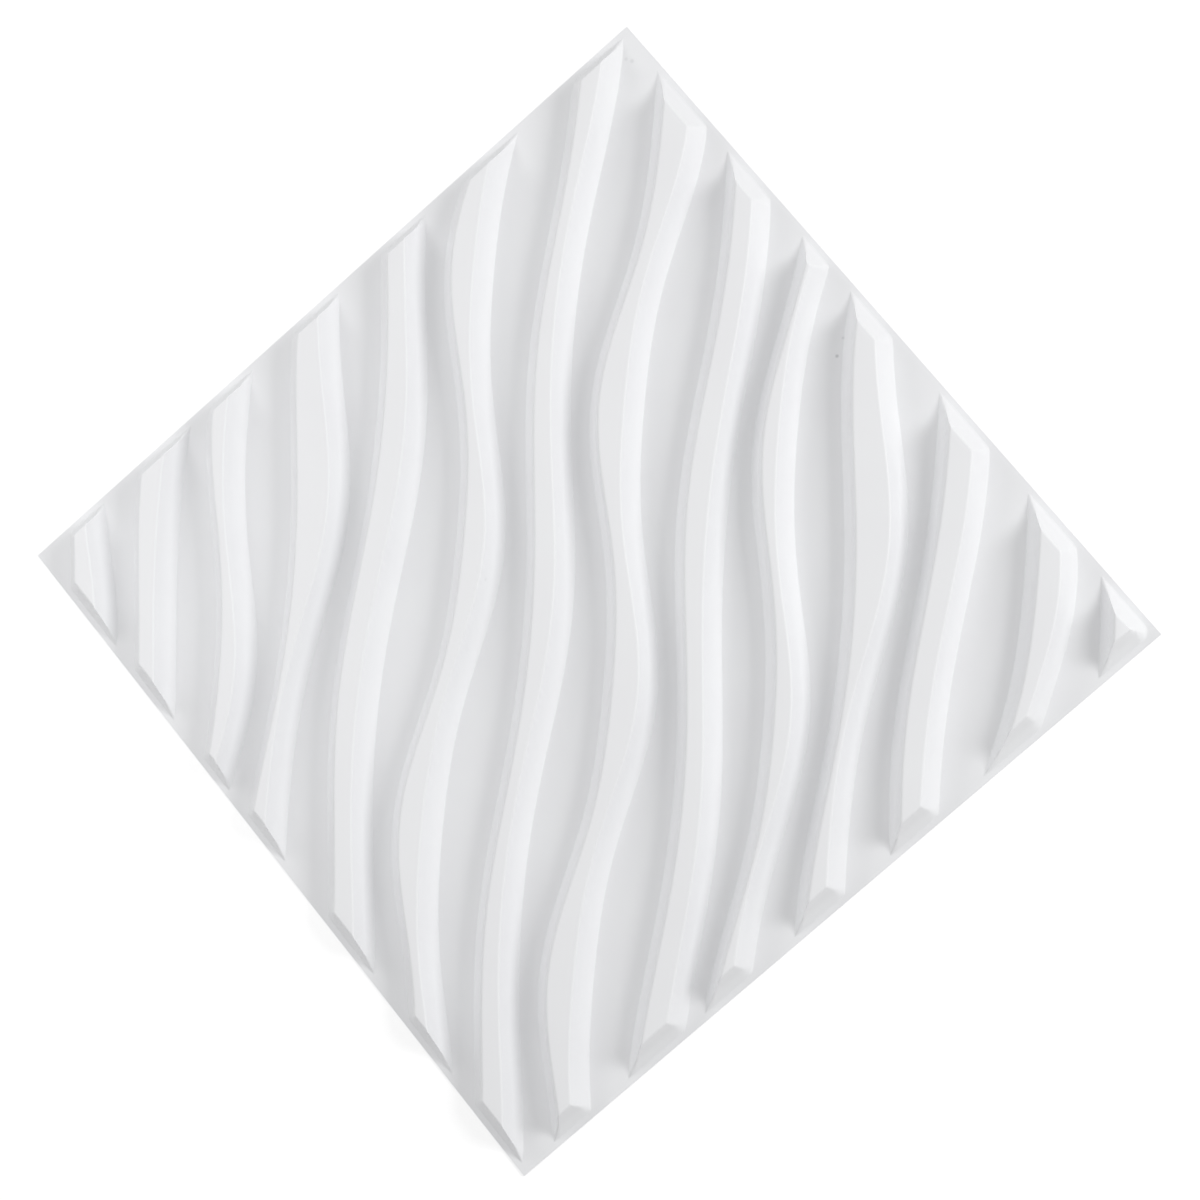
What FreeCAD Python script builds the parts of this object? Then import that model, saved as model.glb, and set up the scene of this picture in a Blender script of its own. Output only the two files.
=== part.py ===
import FreeCAD, Part
import math
import os
from collections import namedtuple

# Square tile of formed sheet, lying on its back with its ribs up
TILE_SIDE = 500.0
SHEET = 1.0
RELIEF = 18.0

# Rib section: a flat top between two slanted walls, each steep down to a knee and flared from there to
# its foot. The runs are sideways distances from the edge of the top.
KNEE_HEIGHT = 6.0
KNEE_RUN = 4.0
LEFT_RUN = 9.0
RIGHT_RUN = 8.0

# Flat rim around the ribs, and the run of the faces that close the rib ends in the same way
RIM = 3.75
END_RUN = 8.5

# The ribs run along the tile's diagonal. Both edges of a rib's top are cosine waves, and the larger
# a swing is beside BULGE_SWING, the sharper its outward bulges are.
PITCH = 50.0
BULGE_SWING = 29.0
STEPS_PER_WAVE = 12

# One set of ribs, which repeats across the diagonal. Each rib has a shift from even spacing, a mean
# top width, and a swing and a lag (degrees of the wave) for each edge of its top.
Rib = namedtuple("Rib", "shift top_width left_swing left_lag right_swing right_lag")
RIBS = (
    Rib(shift=2.75, top_width=12.5, left_swing=12.0, left_lag=-61, right_swing=12.0, right_lag=-60),
    Rib(shift=5.5, top_width=12.25, left_swing=6.5, left_lag=-122, right_swing=5.5, right_lag=-133),
    Rib(shift=1.0, top_width=7.0, left_swing=10.5, left_lag=-80, right_swing=11.0, right_lag=-71),
    Rib(shift=-1.0, top_width=12.5, left_swing=6.5, left_lag=-13, right_swing=10.5, right_lag=42),
    Rib(shift=-2.0, top_width=13.25, left_swing=6.0, left_lag=98, right_swing=7.0, right_lag=90),
    Rib(shift=0.75, top_width=10.5, left_swing=12.0, left_lag=27, right_swing=11.5, right_lag=24),
    Rib(shift=2.5, top_width=10.5, left_swing=6.0, left_lag=-33, right_swing=7.5, right_lag=-12),
)
LEFT = -1
RIGHT = 1

# A wave is as long as one set of ribs is wide, so the pattern repeats alike both ways
WAVE_LENGTH = PITCH * len(RIBS)
HALF_SIDE = TILE_SIDE / 2.0
HALF_DIAGONAL = HALF_SIDE * math.sqrt(2.0)


def diagonal_point(along, across, height):
    """Point in the tile's frame, from its distances along and across the diagonal."""
    return FreeCAD.Vector((along + across) / math.sqrt(2.0), (along - across) / math.sqrt(2.0), height)


def wave(along, swing, lag, side):
    """Distance of a rib edge from its mean line, with the sharper bulges on the given side."""
    angle = 2.0 * math.pi * along / WAVE_LENGTH - math.radians(lag)
    sharpness = side * (swing / BULGE_SWING) ** 2
    return swing * (math.cos(angle) + sharpness * math.cos(2.0 * angle))


def edge_points(mean, swing, lag, side, height):
    """Points along one wavy rib edge, which runs a step beyond the tile's corners."""
    step = WAVE_LENGTH / STEPS_PER_WAVE
    last = math.ceil(HALF_DIAGONAL / step) + 1
    places = [step * count for count in range(-last, last + 1)]
    return [diagonal_point(along, mean + wave(along, swing, lag, side), height) for along in places]


def rib_outline(rib, left_mean, right_mean, height):
    """Level outline of a rib between its two wavy edges."""
    left = edge_points(left_mean, rib.left_swing, rib.left_lag, LEFT, height)
    right = edge_points(right_mean, rib.right_swing, rib.right_lag, RIGHT, height)
    edges = []
    for points in (left, right):
        curve = Part.BSplineCurve()
        curve.interpolate(points)
        edges.append(curve.toShape())
    start = Part.makeLine(left[0], right[0])
    end = Part.makeLine(left[-1], right[-1])
    return Part.Wire([edges[0], end, edges[1], start])


def sheet_inset(drop, run):
    """Sideways distance from a slanted outer face, lowered by one sheet, to the inner face."""
    return SHEET * math.tan(math.atan2(drop, run) / 2.0)


def outer_section(run):
    """Heights above the foot, and distances out from the top's edge, of a face's foot, knee and top."""
    return [(0.0, run), (KNEE_HEIGHT, KNEE_RUN), (RELIEF, 0.0)]


def inner_section(run):
    """The same places on the inner face, one sheet behind. Its knee is half a sheet higher."""
    steep = sheet_inset(RELIEF - KNEE_HEIGHT, KNEE_RUN)
    flared = sheet_inset(KNEE_HEIGHT, run - KNEE_RUN)
    knee = KNEE_HEIGHT + SHEET / 2.0
    knee_out = KNEE_RUN * (RELIEF - knee) / (RELIEF - KNEE_HEIGHT) - steep
    return [(0.0, run - flared), (knee, knee_out), (RELIEF, -steep)]


def rib_body(rib, centre, foot_height, section):
    """Body of a rib with slanted walls, longer than the tile's diagonal."""
    left = centre - rib.top_width / 2.0
    right = centre + rib.top_width / 2.0
    outlines = []
    for (height, left_out), (_, right_out) in zip(section(LEFT_RUN), section(RIGHT_RUN)):
        outlines.append(rib_outline(rib, left - left_out, right + right_out, foot_height + height))
    return Part.makeLoft(outlines, True, True)


def rib_field(foot_height, section):
    """Square block with slanted sides, which closes the rib ends inside the rim."""
    top_half = HALF_SIDE - RIM - END_RUN
    outlines = []
    for height, out in section(END_RUN):
        half = top_half + out
        corners = [(-half, -half), (half, -half), (half, half), (-half, half), (-half, -half)]
        outlines.append(Part.makePolygon([FreeCAD.Vector(x, y, foot_height + height) for x, y in corners]))
    return Part.makeLoft(outlines, True, True)


def rib_centres():
    """Each rib with its mean distance from the diagonal, out to the corners of the ribbed field."""
    reach = HALF_DIAGONAL - RIM * math.sqrt(2.0)
    last = math.ceil(reach / PITCH)
    spaced = [(RIBS[place % len(RIBS)], (place + 0.5) * PITCH) for place in range(-last, last)]
    return [(rib, even + rib.shift) for rib, even in spaced if abs(even + rib.shift) < reach]


def wall_panel():
    """Formed sheet: a flat floor raised into ribs, with the hollow of each rib open at the back."""
    flat = Part.makeBox(TILE_SIDE, TILE_SIDE, SHEET, FreeCAD.Vector(-HALF_SIDE, -HALF_SIDE, 0.0))
    outer_field = rib_field(SHEET, outer_section)
    inner_field = rib_field(0.0, inner_section)
    ribs = []
    hollows = []
    for rib, centre in rib_centres():
        ribs.append(rib_body(rib, centre, SHEET, outer_section).common(outer_field))
        hollows.append(rib_body(rib, centre, 0.0, inner_section).common(inner_field))
    return flat.fuse(ribs).cut(hollows).removeSplitter()


panel = wall_panel()
os.makedirs("parts", exist_ok=True)
panel.exportStep("parts/wall_panel.step")
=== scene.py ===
import math

import bpy
import numpy as np
from mathutils import Matrix


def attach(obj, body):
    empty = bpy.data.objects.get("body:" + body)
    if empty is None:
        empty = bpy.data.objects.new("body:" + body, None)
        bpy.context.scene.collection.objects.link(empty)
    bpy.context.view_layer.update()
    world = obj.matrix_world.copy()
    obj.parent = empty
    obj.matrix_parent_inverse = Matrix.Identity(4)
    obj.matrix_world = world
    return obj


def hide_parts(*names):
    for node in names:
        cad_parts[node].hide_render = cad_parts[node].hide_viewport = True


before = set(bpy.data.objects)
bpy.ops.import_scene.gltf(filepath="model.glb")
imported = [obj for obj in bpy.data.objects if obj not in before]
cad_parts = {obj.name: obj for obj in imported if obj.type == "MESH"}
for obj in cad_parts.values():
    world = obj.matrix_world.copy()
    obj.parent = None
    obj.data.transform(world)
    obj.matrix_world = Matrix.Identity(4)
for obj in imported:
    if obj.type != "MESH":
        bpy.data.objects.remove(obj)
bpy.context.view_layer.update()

# Panel
# One square of white PVC sheet, 1 mm thick, heated and drawn over a mould by vacuum. Wavy ribs with
# slanted walls run along its diagonal, hollow at the back, and a flat rim is left all round for the glue.

# Sizes and places in this section are in millimetres
MM = 0.001
HALF_SIDE = 250.0
HALF_DIAGONAL = HALF_SIDE * math.sqrt(2.0)
SHEET = 1.0
RELIEF = 18.0

# The slanted faces are steep down to a knee and flared from there to the foot. The runs are sideways
# distances from the top edge, and the ease is how far the knee's curve goes up and down from it.
KNEE_HEIGHT = 6.0
KNEE_RUN = 4.0
KNEE_EASE = 2.5
LEFT_RUN = 9.0
RIGHT_RUN = 8.0
FOOT_RADIUS = 1.2
LEFT_TOP_RADIUS = 2.2
RIGHT_TOP_RADIUS = 1.5

# Faces like these, inside the rim, close the rib ends. The end edge is how far in from the tile's sides
# the tops stop. The slanted edges beside those faces are eased, more so by the blend at their foot, and
# the easing fades out over the fade below the top.
RIM = 3.75
END_RUN = 8.5
END_EDGE = RIM + END_RUN
END_TOP_RADIUS = 1.5
SLANT_EDGE = 2.0
FOOT_BLEND = 4.0
EASE_FADE = 2.0
TINY = 0.001

# One set of ribs, which repeats across the diagonal. Each row has the shift from even spacing and the mean
# width of a top, then the swing of its left edge and its lag in degrees of the wave, and those of its right
# edge. The larger a swing is beside the bulge swing, the sharper its outward bulges are.
RIBS = np.array([
    [2.75, 12.5, 12.0, -61, 12.0, -60],
    [5.5, 12.25, 6.5, -122, 5.5, -133],
    [1.0, 7.0, 10.5, -80, 11.0, -71],
    [-1.0, 12.5, 6.5, -13, 10.5, 42],
    [-2.0, 13.25, 6.0, 98, 7.0, 90],
    [0.75, 10.5, 12.0, 27, 11.5, 24],
    [2.5, 10.5, 6.0, -33, 7.5, -12],
])
RIBS_ACROSS = 14
PITCH = 50.0
WAVE_LENGTH = PITCH * len(RIBS)
BULGE_SWING = 29.0
LEFT, RIGHT = -1, 1

# How fine the grid is: points on the arc of a foot, on a wall between its arcs and on the arc of a top edge,
# rows between the rib ends, steps of the section at the rib ends, and passes that place the rows there
FOOT_POINTS = 3
WALL_POINTS = 7
TOP_POINTS = 5
MIDDLE_ROWS = 60
SECTION_STEPS = 400
END_PASSES = 40

# Two lines of the grid bend to meet a corner: a floor line from this far along the diagonal, over a length,
# and a top line over a length on each side of the corner
FLOOR_BEND_START = 290.0
FLOOR_BEND_LENGTH = 40.0
TOP_BEND_LENGTH = 30.0


def wave(along, swing, lag, side):
    """Sideways swing of a rib edge: a cosine plus a smaller cosine of twice the angle, which sharpens
    the bulges on the given side, by the square of the swing."""
    angle = 2.0 * math.pi * along / WAVE_LENGTH - np.radians(lag)
    return swing * (np.cos(angle) + side * (swing / BULGE_SWING) ** 2 * np.cos(2.0 * angle))


def outward(height, run, top_radius):
    """Distance of a slanted face from its top edge at a height: a steep line from the top and a flared one
    from the foot, joined at the knee by a parabola. An arc at the top and one at the foot are tangent to
    the face and to the level."""
    steep_share = KNEE_RUN / (RELIEF - KNEE_HEIGHT)
    flare_share = (run - KNEE_RUN) / KNEE_HEIGHT
    steep, flared = np.arctan(1.0 / steep_share), np.arctan(1.0 / flare_share)
    above = height - KNEE_HEIGHT
    eased = np.maximum(KNEE_EASE - np.abs(above), 0.0) ** 2 / (4.0 * KNEE_EASE)
    bend = np.maximum(-above, 0.0) + eased
    face = steep_share * (RELIEF - height) + (flare_share - steep_share) * bend
    foot_drop = FOOT_RADIUS - np.minimum(height, FOOT_RADIUS)
    top_drop = top_radius - np.minimum(RELIEF - height, top_radius)
    foot = run + FOOT_RADIUS * np.tan(flared / 2.0) - np.sqrt(FOOT_RADIUS ** 2 - foot_drop ** 2)
    top = np.sqrt(top_radius ** 2 - top_drop ** 2) - top_radius * np.tan(steep / 2.0)
    on_foot = height < FOOT_RADIUS * (1.0 - np.cos(flared))
    on_top = RELIEF - height < top_radius * (1.0 - np.cos(steep))
    return np.where(on_foot, foot, np.where(on_top, top, face))


def wall_line(rib, side, height, along):
    """Sideways place of the line at a height on one wall of a rib: the wavy edge of its top, moved out by
    the wall's section. The edges are tighter where the top is too narrow for their full radius."""
    shift, width, left_swing, left_lag, right_swing, right_lag = RIBS[rib % len(RIBS)].T[:, :, None]
    centre = (rib[:, None] - RIBS_ACROSS // 2 + 0.5) * PITCH + shift
    left = centre - width / 2.0 + wave(along, left_swing, left_lag, LEFT)
    right = centre + width / 2.0 + wave(along, right_swing, right_lag, RIGHT)
    on_left = side[:, None] == LEFT
    run = np.where(on_left, LEFT_RUN, RIGHT_RUN)
    fitted = np.minimum((right - left) / (LEFT_TOP_RADIUS + RIGHT_TOP_RADIUS), 1.0)
    radius = np.where(on_left, LEFT_TOP_RADIUS, RIGHT_TOP_RADIUS) * fitted
    return np.where(on_left, left, right) + side[:, None] * outward(height[:, None], run, radius)


def wall_levels():
    """Heights of the grid's lines on a wall: at even turns of the foot's arc, evenly up the face, and at
    even turns of the top edge's arc."""
    flared = math.atan2(KNEE_HEIGHT, RIGHT_RUN - KNEE_RUN)
    steep = math.atan2(RELIEF - KNEE_HEIGHT, KNEE_RUN)
    foot = FOOT_RADIUS * (1.0 - np.cos(np.linspace(0.0, flared, FOOT_POINTS)))
    top = RELIEF - LEFT_TOP_RADIUS * (1.0 - np.cos(np.linspace(steep, 0.0, TOP_POINTS)))
    face = np.linspace(foot[-1], top[0], WALL_POINTS + 2)[1:-1]
    return np.concatenate([foot, face, top])


def end_height(x, y):
    """Height of the slanted face that closes the rib ends: its section, by the distance out from the edge
    of the tops. At the tile's corners that is the distance from the corner of the tops, so that the face
    turns in an arc."""
    past_x = np.abs(x) - (HALF_SIDE - END_EDGE)
    past_y = np.abs(y) - (HALF_SIDE - END_EDGE)
    at_corner = (past_x > 0.0) & (past_y > 0.0)
    out = np.where(at_corner, np.hypot(past_x, past_y), np.maximum(past_x, past_y))
    section = np.linspace(0.0, RELIEF, SECTION_STEPS)
    return np.interp(-out, -outward(section, END_RUN, END_TOP_RADIUS), section)


def eased_lower(one, two):
    """The lower of two heights. Where they are nearly alike a parabola is taken off, which eases the edge
    between them: more of it toward the foot, none at the top, and fading out at the floor."""
    low, high = np.minimum(one, two), np.maximum(one, two)
    blend = SLANT_EDGE + FOOT_BLEND * np.clip(1.0 - low / KNEE_HEIGHT, 0.0, 1.0)
    eased = blend * np.clip((RELIEF - high) / EASE_FADE, TINY, 1.0)
    taken = np.maximum(eased - (high - low), 0.0) ** 2 / (4.0 * eased)
    return low * np.exp(-taken / np.maximum(low, TINY))


def smooth_step(share):
    """Rise from 0 to 1 that is level at both ends: three times the square of the share, less twice its
    cube."""
    share = np.clip(share, 0.0, 1.0)
    return share ** 2 * (3.0 - 2.0 * share)


def panel_surface():
    """Front of the sheet as a grid: lines along the ribs, by rows that keep a set distance from the tile's
    sides near the rib ends and are evenly spaced between. The height is the eased lower one of the rib's
    section and of the slanted face that closes the rib ends."""
    levels = wall_levels()

    # Lines on the walls, from the left corner's rib to the right corner's, up the left and down the right
    rib = np.repeat(np.arange(RIBS_ACROSS), 2 * len(levels))
    side = np.tile(np.repeat([LEFT, RIGHT], len(levels)), RIBS_ACROSS)
    height = np.tile(np.concatenate([levels, levels[::-1]]), RIBS_ACROSS)
    wall = np.arange(len(rib))
    # Each line of the grid is a mean of two of them: twice the same one, or the two beside a top or a floor
    beside = np.arange(len(levels) - 1, len(rib) - 1, len(levels))
    order = np.concatenate([wall, beside + 0.5])
    first = np.concatenate([wall, beside])[np.argsort(order)]
    second = np.concatenate([wall, beside + 1])[np.argsort(order)]
    middle_floor = np.flatnonzero(np.sort(order) == len(rib) / 2 - 0.5)[0]
    last_top = np.flatnonzero(np.sort(order) == len(rib) - len(levels) - 0.5)[0]
    # Two more at each end close the floor to the left and right corners of the tile
    grid_lines = len(first) + 4

    def across(along):
        """Sideways place of each line at the given distances along the diagonal."""
        place = np.zeros((grid_lines, along.shape[1]))
        lines, inner = place[2:-2], along[2:-2]
        lines[:] = (
            wall_line(rib[first], side[first], height[first], inner)
            + wall_line(rib[second], side[second], height[second], inner)
        ) / 2.0
        # The floor line in the middle bends to pass through the top and bottom corners of the tile
        past = np.abs(inner[middle_floor]) - FLOOR_BEND_START
        lines[middle_floor] *= 1.0 - smooth_step(past / FLOOR_BEND_LENGTH)
        # The middle line of the last rib's top bends to pass through the top's right corner
        bent = math.sqrt(2.0) * (HALF_SIDE - END_EDGE) - lines[last_top]
        lines[last_top] += bent * smooth_step(1.0 - np.abs(inner[last_top]) / TOP_BEND_LENGTH)
        for corner, between, sign in ((0, 1, -1.0), (-1, -2, 1.0)):
            foot = wall_line(rib[[corner]], side[[corner]], levels[:1], along[[between]])
            place[corner] = sign * HALF_DIAGONAL
            place[between] = (sign * HALF_DIAGONAL + foot[0]) / 2.0
        return place

    # Distance of each row at a rib's end from the tile's side, or less where a line is too near a corner
    slant = END_EDGE - outward(levels, END_RUN, END_TOP_RADIUS)
    row_gap = np.concatenate([[0.0, slant[0] / 2.0], slant])
    deepest = (HALF_DIAGONAL - np.abs(across(np.zeros((grid_lines, 1))))) / math.sqrt(2.0)
    gap = np.minimum(row_gap[None, :], deepest)
    # How far along a row meets a line depends on how far across the line is there, so it is found in passes
    ends = []
    for sign in (-1.0, 1.0):
        along = sign * (HALF_DIAGONAL - math.sqrt(2.0) * gap)
        for _ in range(END_PASSES):
            along = sign * (HALF_DIAGONAL - math.sqrt(2.0) * gap - np.abs(across(along)))
        ends.append(along)
    share = np.linspace(0.0, 1.0, MIDDLE_ROWS + 2)[1:-1]
    middle = ends[0][:, -1:] + share * (ends[1][:, -1:] - ends[0][:, -1:])
    along = np.concatenate([ends[0], middle, ends[1][:, ::-1]], axis=1)

    place = across(along)
    x = (along + place) / math.sqrt(2.0)
    y = (along - place) / math.sqrt(2.0)
    rib_height = np.concatenate([[0.0, 0.0], height[first], [0.0, 0.0]])[:, None]
    z = SHEET + eased_lower(rib_height, end_height(x, y))
    return np.stack([x, y, z], axis=-1)


# A cell is split the other way only where that is higher by the margin. Points are merged where they are
# alike to this many decimal places of a millimetre.
SPLIT_MARGIN = 0.02
MERGE_PLACES = 4


def grid_triangles(points):
    """Two triangles for each cell of the grid, split along its higher diagonal so that the slanted edges
    at the rib ends stay straight. Cells that shrink to a line at the corners are dropped."""
    lines, rows = points.shape[:2]
    number = np.arange(lines * rows).reshape(lines, rows)
    a, b, c, d = number[:-1, :-1], number[1:, :-1], number[1:, 1:], number[:-1, 1:]
    z = points[:, :, 2]
    other = (z[1:, :-1] + z[:-1, 1:] > z[:-1, :-1] + z[1:, 1:] + SPLIT_MARGIN)[..., None]
    one = np.where(other, np.stack([a, b, d], axis=-1), np.stack([a, b, c], axis=-1))
    two = np.where(other, np.stack([b, c, d], axis=-1), np.stack([a, c, d], axis=-1))
    triangles = np.concatenate([one.reshape(-1, 3), two.reshape(-1, 3)])
    _, kept, merged = np.unique(
        np.round(points.reshape(-1, 3), MERGE_PLACES), axis=0, return_index=True, return_inverse=True
    )
    triangles = merged.reshape(-1)[triangles]
    full = (
        (triangles[:, 0] != triangles[:, 1])
        & (triangles[:, 1] != triangles[:, 2])
        & (triangles[:, 2] != triangles[:, 0])
    )
    return points.reshape(-1, 3)[kept], triangles[full]


front_points, front_triangles = grid_triangles(panel_surface())
front_mesh = bpy.data.meshes.new("panel_front")
front_mesh.from_pydata(front_points * MM, [], front_triangles)
panel = bpy.data.objects.new("panel", front_mesh)
bpy.context.scene.collection.objects.link(panel)

# The sheet's thickness goes behind the front face
thickness = panel.modifiers.new("thickness", "SOLIDIFY")
thickness.thickness = SHEET * MM
thickness.offset = -1.0
thickness.use_even_offset = True
bpy.context.view_layer.update()
evaluated = panel.evaluated_get(bpy.context.evaluated_depsgraph_get())
panel_mesh = bpy.data.meshes.new_from_object(evaluated)
panel_mesh.name = "panel"
panel.modifiers.clear()
panel.data = panel_mesh

# The back of the floor is flat, also where the rib ends blend into it
sheet_points = np.empty(3 * len(panel_mesh.vertices), dtype=np.float32)
panel_mesh.vertices.foreach_get("co", sheet_points)
sheet_points[2::3] = np.maximum(sheet_points[2::3], 0.0)
panel_mesh.vertices.foreach_set("co", sheet_points)

# Only the cut edges of the sheet stay sharp
SHARP_ANGLE = 75.0
panel_mesh.shade_smooth()
panel_mesh.set_sharp_from_angle(angle=math.radians(SHARP_ANGLE))
even_light = panel.modifiers.new("even_light", "WEIGHTED_NORMAL")
even_light.keep_sharp = True


def srgb(code):
    """Linear colour from an sRGB hex value."""
    parts = [int(code[place:place + 2], 16) / 255.0 for place in (1, 3, 5)]
    return [p / 12.92 if p <= 0.04045 else ((p + 0.055) / 1.055) ** 2.4 for p in parts] + [1.0]


def add_node(tree, kind, settings=(), **sockets):
    """Adds a node, sets its properties, and fills its inputs with values or with links from outputs. An
    input is given by its name with _ for spaces, or by _ and its number."""
    node = tree.nodes.new(kind)
    for name, value in dict(settings).items():
        setattr(node, name, value)
    for name, value in sockets.items():
        socket = node.inputs[int(name[1:]) if name[1:].isdigit() else name.replace("_", " ")]
        if isinstance(value, bpy.types.NodeSocket):
            tree.links.new(value, socket)
        else:
            socket.default_value = value
    return node


# Matt white PVC, vacuum formed: a cool white with a soft satin sheen. The mould prints a fine grain on it,
# and the drawn sheet is a touch uneven, so that the light breaks up a little on the flats. The grain,
# about 0.3 mm on the real sheet, is drawn at 1.6 mm so that it shows.
COOL_WHITE = "#EEEEF0"
PALE_WHITE = "#F1F2F3"
PVC_IOR = 1.53
SMOOTHEST, ROUGHEST = 0.5, 0.6
GRAIN = 1.6
GRAIN_DEPTH = 0.012
UNEVEN = 40.0
UNEVEN_DEPTH = 0.12
# Most values of the noise lie between these two
NOISE_LOW, NOISE_HIGH = 0.3, 0.7

# Specks and scuffs on the sheet: place, radius, and how much of the white they cover. Inside the core, a
# share of the radius, the cover is full.
DUST_GREY = "#8A8C8F"
DUST_CORE = 0.3
DUST = (
    ((224.0, 10.2, 1.5), 1.3, 0.25),
    ((214.1, 4.2, 1.0), 1.5, 0.4),
    ((-37.0, 42.4, 12.0), 2.2, 0.2),
    ((236.4, 234.5, 1.0), 1.6, 0.12),
    ((238.4, 230.9, 1.0), 1.8, 0.16),
    ((233.3, -227.4, 19.0), 1.4, 0.18),
)
white_pvc = bpy.data.materials.new("matt_white_pvc")
white_pvc.use_nodes = True
tree = white_pvc.node_tree
tree.nodes.clear()
place = add_node(tree, "ShaderNodeTexCoord").outputs["Object"]
grain = add_node(tree, "ShaderNodeTexNoise", Vector=place, Scale=1.0 / (GRAIN * MM), Detail=1.0)
uneven = add_node(tree, "ShaderNodeTexNoise", Vector=place, Scale=1.0 / (UNEVEN * MM), Detail=2.0)
relief = add_node(
    tree, "ShaderNodeMath", {"operation": "MULTIPLY_ADD"},
    _0=grain.outputs["Fac"], _1=GRAIN_DEPTH / UNEVEN_DEPTH, _2=uneven.outputs["Fac"],
)
bump = add_node(tree, "ShaderNodeBump", Distance=UNEVEN_DEPTH * MM, Height=relief.outputs["Value"])
sheen = add_node(
    tree, "ShaderNodeMapRange", Value=uneven.outputs["Fac"],
    From_Min=NOISE_LOW, From_Max=NOISE_HIGH, To_Min=SMOOTHEST, To_Max=ROUGHEST,
)
white = add_node(
    tree, "ShaderNodeMix", {"data_type": "RGBA"},
    _0=uneven.outputs["Fac"], _6=srgb(COOL_WHITE), _7=srgb(PALE_WHITE),
).outputs[2]
for centre, radius, cover in DUST:
    away = add_node(
        tree, "ShaderNodeVectorMath", {"operation": "DISTANCE"},
        _0=place, _1=[side * MM for side in centre],
    )
    speck = add_node(
        tree, "ShaderNodeMapRange", Value=away.outputs["Value"],
        From_Min=radius * MM, From_Max=DUST_CORE * radius * MM, To_Max=cover,
    )
    white = add_node(
        tree, "ShaderNodeMix", {"data_type": "RGBA"},
        _0=speck.outputs["Result"], _6=white, _7=srgb(DUST_GREY),
    ).outputs[2]
shader = add_node(
    tree, "ShaderNodeBsdfPrincipled",
    Base_Color=white, Roughness=sheen.outputs["Result"], IOR=PVC_IOR, Normal=bump.outputs["Normal"],
)
add_node(tree, "ShaderNodeOutputMaterial", Surface=shader.outputs["BSDF"])
panel_mesh.materials.clear()
panel_mesh.materials.append(white_pvc)
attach(panel, "root")
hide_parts("wall_panel")

# Floor
# A plain sweep of white paper just under the panel, which keeps the panel's shadow. Its glow is there only
# for the camera and in reflections, so the paper looks white but doesn't act as a lamp.
FLOOR_REACH = 6.0
FLOOR_LEVEL = -0.0002
PAPER = "#E6E6E6"
PAPER_GLOW = 0.4
floor_mesh = bpy.data.meshes.new("floor")
floor_mesh.from_pydata(
    [
        (-FLOOR_REACH, -FLOOR_REACH, FLOOR_LEVEL), (FLOOR_REACH, -FLOOR_REACH, FLOOR_LEVEL),
        (FLOOR_REACH, FLOOR_REACH, FLOOR_LEVEL), (-FLOOR_REACH, FLOOR_REACH, FLOOR_LEVEL),
    ],
    [], [(0, 1, 2, 3)],
)
floor = bpy.data.objects.new("floor", floor_mesh)
bpy.context.scene.collection.objects.link(floor)
white_paper = bpy.data.materials.new("white_paper")
white_paper.use_nodes = True
tree = white_paper.node_tree
tree.nodes.clear()
paper = add_node(tree, "ShaderNodeBsdfDiffuse", Color=srgb(PAPER))
path = add_node(tree, "ShaderNodeLightPath").outputs
mirrored = add_node(
    tree, "ShaderNodeMath", {"operation": "MAXIMUM"},
    _0=path["Is Glossy Ray"], _1=path["Is Transmission Ray"],
)
seen = add_node(
    tree, "ShaderNodeMath", {"operation": "MAXIMUM"},
    _0=path["Is Camera Ray"], _1=mirrored.outputs["Value"],
)
glow = add_node(
    tree, "ShaderNodeEmission",
    Strength=seen.outputs["Value"], Color=[PAPER_GLOW, PAPER_GLOW, PAPER_GLOW, 1.0],
)
both = add_node(tree, "ShaderNodeAddShader", _0=paper.outputs["BSDF"], _1=glow.outputs["Emission"])
add_node(tree, "ShaderNodeOutputMaterial", Surface=both.outputs["Shader"])
floor_mesh.materials.append(white_paper)

# Light
# A large soft box at the right rakes over the ribs, and a weak one hangs above them. A smaller one at the
# upper left and one close by on the left light their other walls, and even light comes from all round.
ALL_ROUND_LIGHT = 0.49
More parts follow.
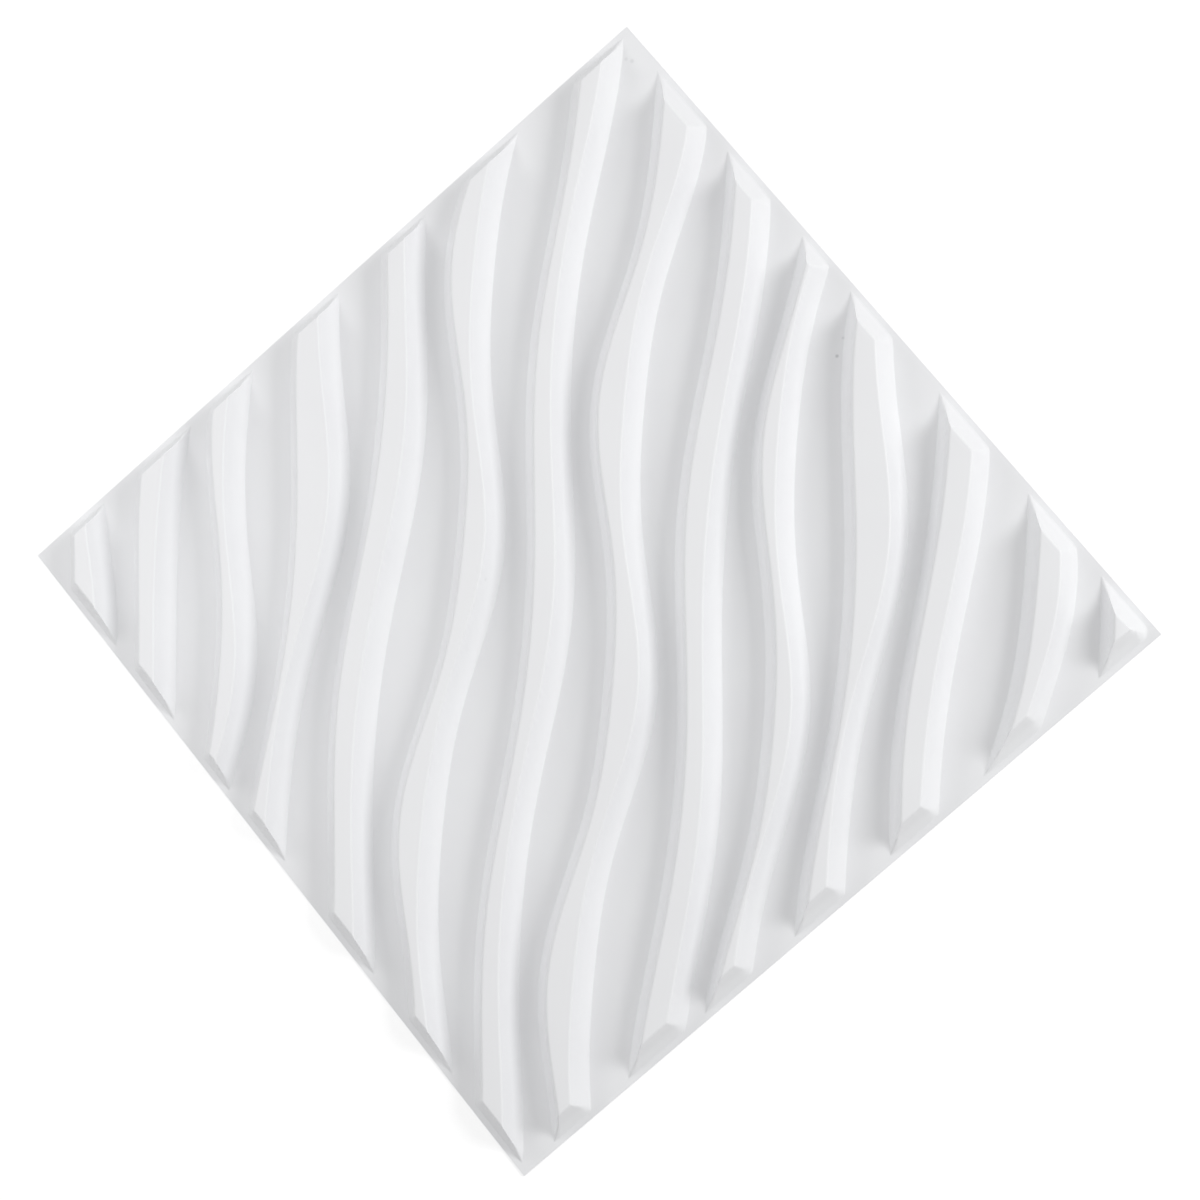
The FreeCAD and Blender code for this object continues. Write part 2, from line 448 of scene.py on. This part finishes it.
# Name, place and size in metres, and power in watts
SOFT_BOXES = (
    ("right_box", (2.23, -0.95, 1.54), 1.1, 36.5),
    ("upper_left_box", (-0.31, 1.16, 0.75), 0.5, 3.0),
    ("near_left_box", (-0.37, 0.26, 0.5), 0.2, 0.31),
    ("over_box", (0.02, 0.0, 2.0), 1.5, 3.3),
)
world = bpy.data.worlds.new("studio")
world.use_nodes = True
background = world.node_tree.nodes["Background"]
background.inputs["Color"].default_value = srgb("#FFFFFF")
background.inputs["Strength"].default_value = ALL_ROUND_LIGHT
bpy.context.scene.world = world


def facing_panel(place):
    """Matrix of a lamp at a place: its back points away from the panel's middle, and its first side lies
    level."""
    away = np.array(place) / np.linalg.norm(place)
    level = np.cross([0.0, 0.0, 1.0], away)
    level /= np.linalg.norm(level)
    turn = np.eye(4)
    turn[:3] = np.stack([level, np.cross(away, level), away, place], axis=1)
    return Matrix(turn.tolist())


for name, place, size, power in SOFT_BOXES:
    lamp = bpy.data.lights.new(name, "AREA")
    lamp.shape = "SQUARE"
    lamp.size = size
    lamp.energy = power
    soft_box = bpy.data.objects.new(name, lamp)
    soft_box.matrix_world = facing_panel(place)
    bpy.context.scene.collection.objects.link(soft_box)

# Camera
# A long lens about 1.95 m from the panel. It stands a little to the panel's lower right and looks down on
# it, with the top corner up. The axes' columns are its right, its up and its back.
SENSOR = 36.0
LENS = 96.0
CAMERA_PLACE = (0.2182, -0.4368, 1.8937)
CAMERA_AXES = np.array([
    [0.74892, 0.65389, 0.10743],
    [-0.62413, 0.75052, -0.21722],
    [-0.22266, 0.09563, 0.97019],
])
camera = bpy.data.objects.new("camera", bpy.data.cameras.new("camera"))
bpy.context.scene.collection.objects.link(camera)
camera.data.sensor_width = SENSOR
camera.data.lens = LENS
pose = np.eye(4)
pose[:3, :3] = CAMERA_AXES
pose[:3, 3] = CAMERA_PLACE
camera.matrix_world = Matrix(pose.tolist())
bpy.context.scene.camera = camera

bpy.context.scene.view_settings.view_transform = "Standard"
